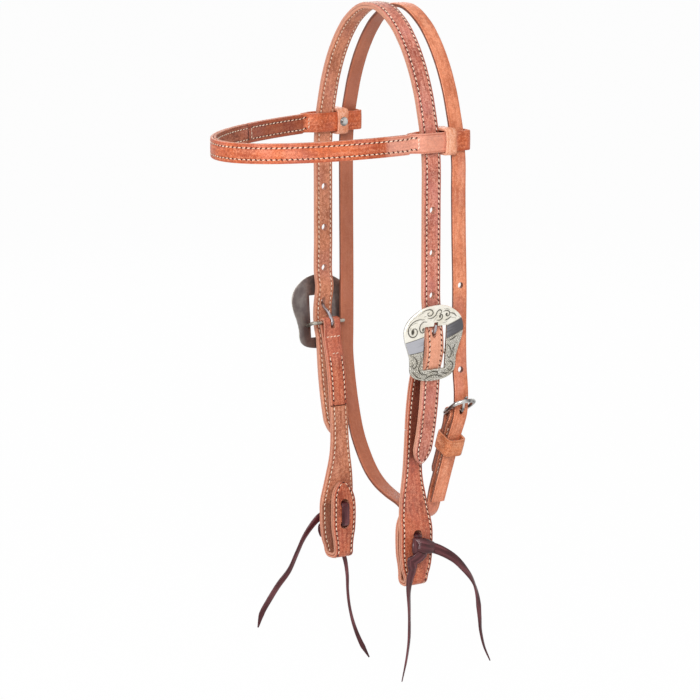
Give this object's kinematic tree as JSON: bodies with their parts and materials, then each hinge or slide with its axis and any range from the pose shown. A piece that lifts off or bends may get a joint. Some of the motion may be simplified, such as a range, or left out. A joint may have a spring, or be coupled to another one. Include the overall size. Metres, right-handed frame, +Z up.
{
  "type": "western headstall",
  "caption": "Russet leather western headstall: stitched crown with looped browband, engraved cart buckles, throatlatch with keeper, and cheeks with folded bit loops tied by lace.",
  "frame": {"origin": "middle of the underside of the crown, where it rests on the horse's poll", "axes": "+Z up, -Y towards the horse's forehead, +X the horse's near (left) side"},
  "size_m": [0.1843, 0.2114, 0.5695],
  "materials": {
    "crown_leather": "russet harness leather, oiled",
    "lining_leather": "darker russet lining leather",
    "browband_leather": "russet harness leather, stitched both edges",
    "cheek_leather": "russet harness leather",
    "throatlatch_leather": "russet harness leather, single ply",
    "keeper_leather": "russet harness leather, wet-formed loop",
    "latigo": "dark burgundy latigo lace",
    "antique_silver": "antique silver plate, engraved",
    "tongue_steel": "brushed nickel silver",
    "rivet_steel": "bright nickel",
    "nickel_plate": "nickel plate"
  },
  "bodies": {
    "crown": {"crown_outer_ply": "crown_leather", "crown_lining_ply": "lining_leather", "near_buckle_plate": "antique_silver", "near_buckle_bar": "antique_silver", "off_buckle_plate": "antique_silver", "off_buckle_bar": "antique_silver"},
    "near_cheek": {"near_cheek_outer_ply": "cheek_leather", "near_cheek_lining_ply": "lining_leather", "near_tie_loop": "latigo", "near_tie_knot": "latigo", "near_tie_tail_front": "latigo", "near_tie_tail_rear": "latigo"},
    "off_cheek": {"off_cheek_outer_ply": "cheek_leather", "off_cheek_lining_ply": "lining_leather", "off_tie_loop": "latigo", "off_tie_knot": "latigo", "off_tie_tail_front": "latigo", "off_tie_tail_rear": "latigo"},
    "near_tongue": {"near_buckle_tongue": "tongue_steel"},
    "off_tongue": {"off_buckle_tongue": "tongue_steel"},
    "browband": {"browband_outer_ply": "browband_leather", "browband_lining_ply": "lining_leather", "near_browband_keeper": "keeper_leather", "near_keeper_rivet": "rivet_steel", "off_browband_keeper": "keeper_leather", "off_keeper_rivet": "rivet_steel"},
    "throatlatch": {"throatlatch_strap": "throatlatch_leather"},
    "throat_frame": {"throat_buckle_frame": "nickel_plate"},
    "throat_tongue": {"throat_buckle_tongue": "nickel_plate"},
    "throat_keeper": {"throat_keeper": "keeper_leather"}
  },
  "joints": [
    {"name": "near_cheek_swing", "type": "hinge", "parent": "crown", "child": "near_cheek", "pos_m": [0.06943, 0, -0.26837], "axis": [0, 1, 0], "range_deg": [0, 12]},
    {"name": "off_cheek_swing", "type": "hinge", "parent": "crown", "child": "off_cheek", "pos_m": [-0.06943, 0, -0.26837], "axis": [0, -1, 0], "range_deg": [0, 12]},
    {"name": "near_tongue_lift", "type": "hinge", "parent": "crown", "child": "near_tongue", "pos_m": [0.06943, 0, -0.26837], "axis": [0, 1, 0], "range_deg": [0, 3]},
    {"name": "off_tongue_lift", "type": "hinge", "parent": "crown", "child": "off_tongue", "pos_m": [-0.06943, 0, -0.26837], "axis": [0, -1, 0], "range_deg": [0, 3]},
    {"name": "browband_slide", "type": "slide", "parent": "crown", "child": "browband", "axis": [0, 0, 1], "range_m": [-0.03, 0.002]},
    {"name": "throatlatch_lift", "type": "slide", "parent": "crown", "child": "throatlatch", "axis": [0, 0, 1], "range_m": [0, 0.012]},
    {"name": "throat_frame_drop", "type": "hinge", "parent": "throatlatch", "child": "throat_frame", "pos_m": [0.0723, 0.0285, -0.3235], "axis": [0, 1, 0], "range_deg": [0, 5]},
    {"name": "throat_tongue_lift", "type": "hinge", "parent": "throatlatch", "child": "throat_tongue", "pos_m": [0.0723, 0.0285, -0.3235], "axis": [0, -1, 0], "range_deg": [0, 4]},
    {"name": "throat_keeper_slide", "type": "slide", "parent": "throatlatch", "child": "throat_keeper", "axis": [-0.3665, 0, -0.9304], "range_m": [-0.005, 0.018]}
  ]
}
